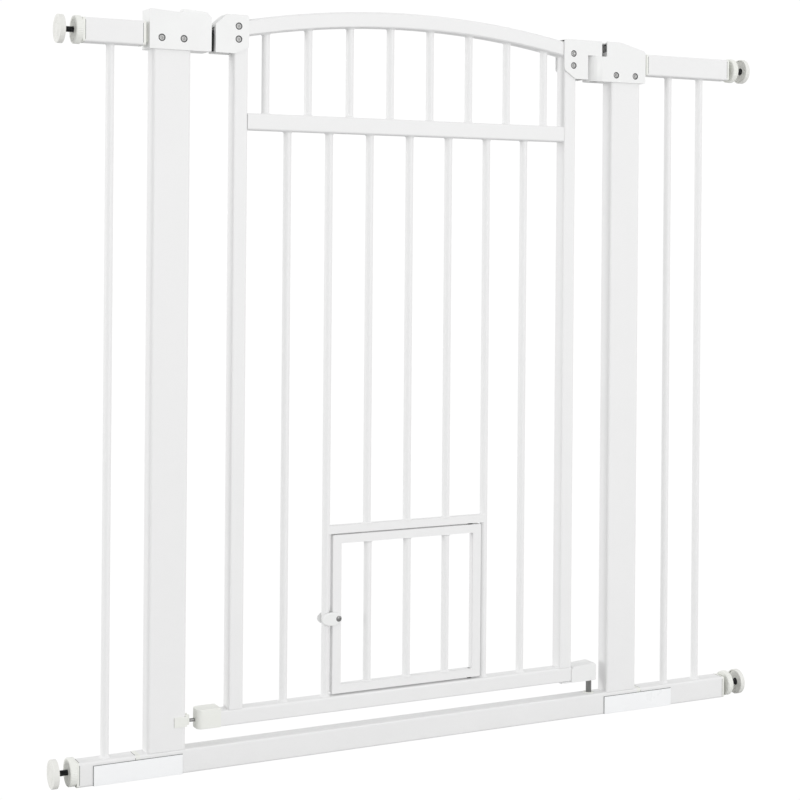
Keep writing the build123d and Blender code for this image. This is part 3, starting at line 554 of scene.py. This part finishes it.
# ---- Pet door ----------------------------------------------------------------
# A small welded door on two black steel pins. Its latch is a pair of ABS ovals on one
# cross-head screw, turned with the fingers.
finish(["pet_door_pins"], black_oxide)
finish(["pet_latch_front", "pet_latch_rear"], moulding)
low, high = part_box("pet_latch_screw")
centre = Vector(((low[0] + high[0]) / 2, 0, (low[2] + high[2]) / 2))
head = (high[0] - low[0]) / 2
head_deep = 1.8 * mm
shank = 1.5 * mm
cross_half = 0.55 * mm
cross_reach = 2.1 * mm
cross_deep = 0.8 * mm
verts, faces = [], []
sides = 64
rings = 16
for i in range(1, rings + 1):
    r = head * i / rings
    for j in range(sides):
        angle = tau * j / sides
        u, v = r * cos(angle), r * sin(angle)
        dome = 0.7 * mm * (r / head) ** 3
        in_cross = min(abs(u), abs(v)) < cross_half and max(abs(u), abs(v)) < cross_reach
        verts.append((centre.x + u, low[1] + dome + (cross_deep if in_cross else 0), centre.z + v))
hub = len(verts)
verts.append((centre.x, low[1] + cross_deep, centre.z))
faces += rings_to_faces(rings, sides)
faces += [(hub, (j + 1) % sides, j) for j in range(sides)]
last = (rings - 1) * sides
for along, radius in ((low[1] + head_deep, head), (low[1] + head_deep, shank), (high[1], shank)):
    first = len(verts)
    for j in range(sides):
        angle = tau * j / sides
        verts.append((centre.x + radius * cos(angle), along, centre.z + radius * sin(angle)))
    faces += [
        (last + j, last + (j + 1) % sides, first + (j + 1) % sides, first + j)
        for j in range(sides)]
    last = first
faces.append(tuple(last + j for j in range(sides)))
screw = piece("cross_head_screw", verts, faces, zinc, "pet_latch", 30)
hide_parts("pet_latch_screw")

# ---- Wall pads, spindles and hand nuts ------------------------------------------
# At each corner a black M8 spindle with a rolled thread carries a steel disc in a white
# rubber pad. A ribbed nylon hand nut on the thread drives it against the wall.
rubber = patterned(
    "white_moulded_rubber", "#e6e6e2", "#eaeae6", 12 * mm, 0.6, 0.7, 0.8 * mm, 0.05 * mm)
thread_pitch = 1.25 * mm
thread_depth = 0.68 * mm


def threaded_rod(x0, x1, z, radius, verts, faces):
    """Rod whose radius follows a helix, tapered at its start."""
    sides = 28
    rings = int(abs(x1 - x0) / (thread_pitch / 6)) + 1
    start = len(verts)
    for i in range(rings):
        along = x0 + (x1 - x0) * i / (rings - 1)
        taper = min(1.0, 0.75 + 0.25 * i / 8)
        for j in range(sides):
            angle = tau * j / sides
            phase = (along / thread_pitch + angle / tau) % 1.0
            r = (radius - thread_depth * abs(2 * phase - 1)) * taper
            verts.append((along, r * cos(angle), z + r * sin(angle)))
    faces += rings_to_faces(rings, sides, start)
    faces.append(tuple(start + j for j in range(sides - 1, -1, -1)))
    faces.append(tuple(start + (rings - 1) * sides + j for j in range(sides)))


def ribbed_nut(inner, outer, z, radius, bore, verts, faces):
    """Hand nut with fine ribs round its rim and a shallow dish in its outer face."""
    ribs = 48
    sides = 6 * ribs
    side = 1 if outer > inner else -1
    rib = 0.4 * mm
    section = [
        (inner, bore, 0), (inner, radius - 1.0 * mm, 0), (inner + side * 0.7 * mm, radius - rib, 0),
        (inner + side * 0.9 * mm, radius, 1), (outer - side * 0.9 * mm, radius, 1),
        (outer - side * 0.7 * mm, radius - rib, 0), (outer, radius - 1.0 * mm, 0),
        (outer, 0.72 * radius, 0),
        (outer - side * 0.5 * mm, 0.68 * radius, 0), (outer - side * 0.5 * mm, bore, 0)]
    start = len(verts)
    for along, r, ribbed in section:
        for j in range(sides):
            angle = tau * j / sides
            cut = rib * (0.5 - 0.5 * cos(ribs * angle)) if ribbed else 0
            verts.append((along, (r - cut) * cos(angle), z + (r - cut) * sin(angle)))
    faces += rings_to_faces(len(section), sides, start, closed=True)


for corner in ("latch_bottom", "latch_top", "hinge_bottom", "hinge_top"):
    side = -1 if corner.startswith("latch") else 1
    pad_low, pad_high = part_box(corner + "_pad")
    rod_low, rod_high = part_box(corner + "_spindle")
    nut_low, nut_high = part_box(corner + "_hand_nut")
    z = (pad_low[2] + pad_high[2]) / 2
    pad_radius = (pad_high[2] - pad_low[2]) / 2
    face = pad_low[0] if side < 0 else pad_high[0]
    back = pad_high[0] if side < 0 else pad_low[0]
    wall = 1.6 * mm
    deep = 2.5 * mm
    round_edge = 1.0 * mm
    line = Matrix.Translation((0, 0, z))
    web = 4.6 * mm
    profile = [
        (face - side * deep, 0), (face - side * deep, pad_radius - wall + 0.1 * mm),
        (face - side * web, pad_radius - wall + 0.1 * mm), (face - side * web, 5.5 * mm),
        (face - side * (web + 0.5 * mm), 5.5 * mm),
        (face - side * (web + 0.5 * mm), pad_radius - wall),
        (back, pad_radius - wall)]
    profile += [(back, pad_radius - 0.3 * mm), (back + side * 0.3 * mm, pad_radius)]
    profile += [
        (face - side * round_edge * (1 - sin(a)), pad_radius - round_edge * (1 - cos(a)))
        for a in (0, pi / 8, pi / 4, 3 * pi / 8, pi / 2)]
    for groove in (14.0 * mm, 11.0 * mm, 8.0 * mm):
        profile += [
            (face, groove), (face - side * 0.35 * mm, groove - 0.3 * mm),
            (face - side * 0.35 * mm, groove - 0.7 * mm), (face, groove - 1.0 * mm)]
    profile.append((face, 0))
    verts, faces = [], []
    turned(profile, 96, line, verts, faces)
    pad = piece(corner + "_ringed_pad", verts, faces, rubber, corner + "_screw")
    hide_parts(corner + "_pad")

    verts, faces = [], []
    inner = rod_high[0] if side < 0 else rod_low[0]
    disc_face = rod_low[0] if side < 0 else rod_high[0]
    disc_back = disc_face - side * 2.0 * mm
    rod_radius = 4.0 * mm
    threaded_rod(inner, disc_back - side * 0.05 * mm, z, rod_radius, verts, faces)
    disc_radius = pad_radius - wall
    disc_edge = 0.4 * mm
    turned(
        [(disc_back, 0), (disc_back, disc_radius - disc_edge),
         (disc_back + side * disc_edge, disc_radius), (disc_face, disc_radius), (disc_face, 0)],
        72, line, verts, faces)
    spindle = piece(
        corner + "_threaded_spindle", verts, faces, black_oxide,
        corner + "_screw", 60)
    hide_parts(corner + "_spindle")

    verts, faces = [], []
    nut_radius = (nut_high[2] - nut_low[2]) / 2
    nut_inner, nut_outer = (nut_high[0], nut_low[0]) if side < 0 else (nut_low[0], nut_high[0])
    ribbed_nut(nut_inner, nut_outer, z, nut_radius, rod_radius + 0.06 * mm, verts, faces)
    nut = piece(corner + "_ribbed_nut", verts, faces, nylon, corner + "_nut")
    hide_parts(corner + "_hand_nut")
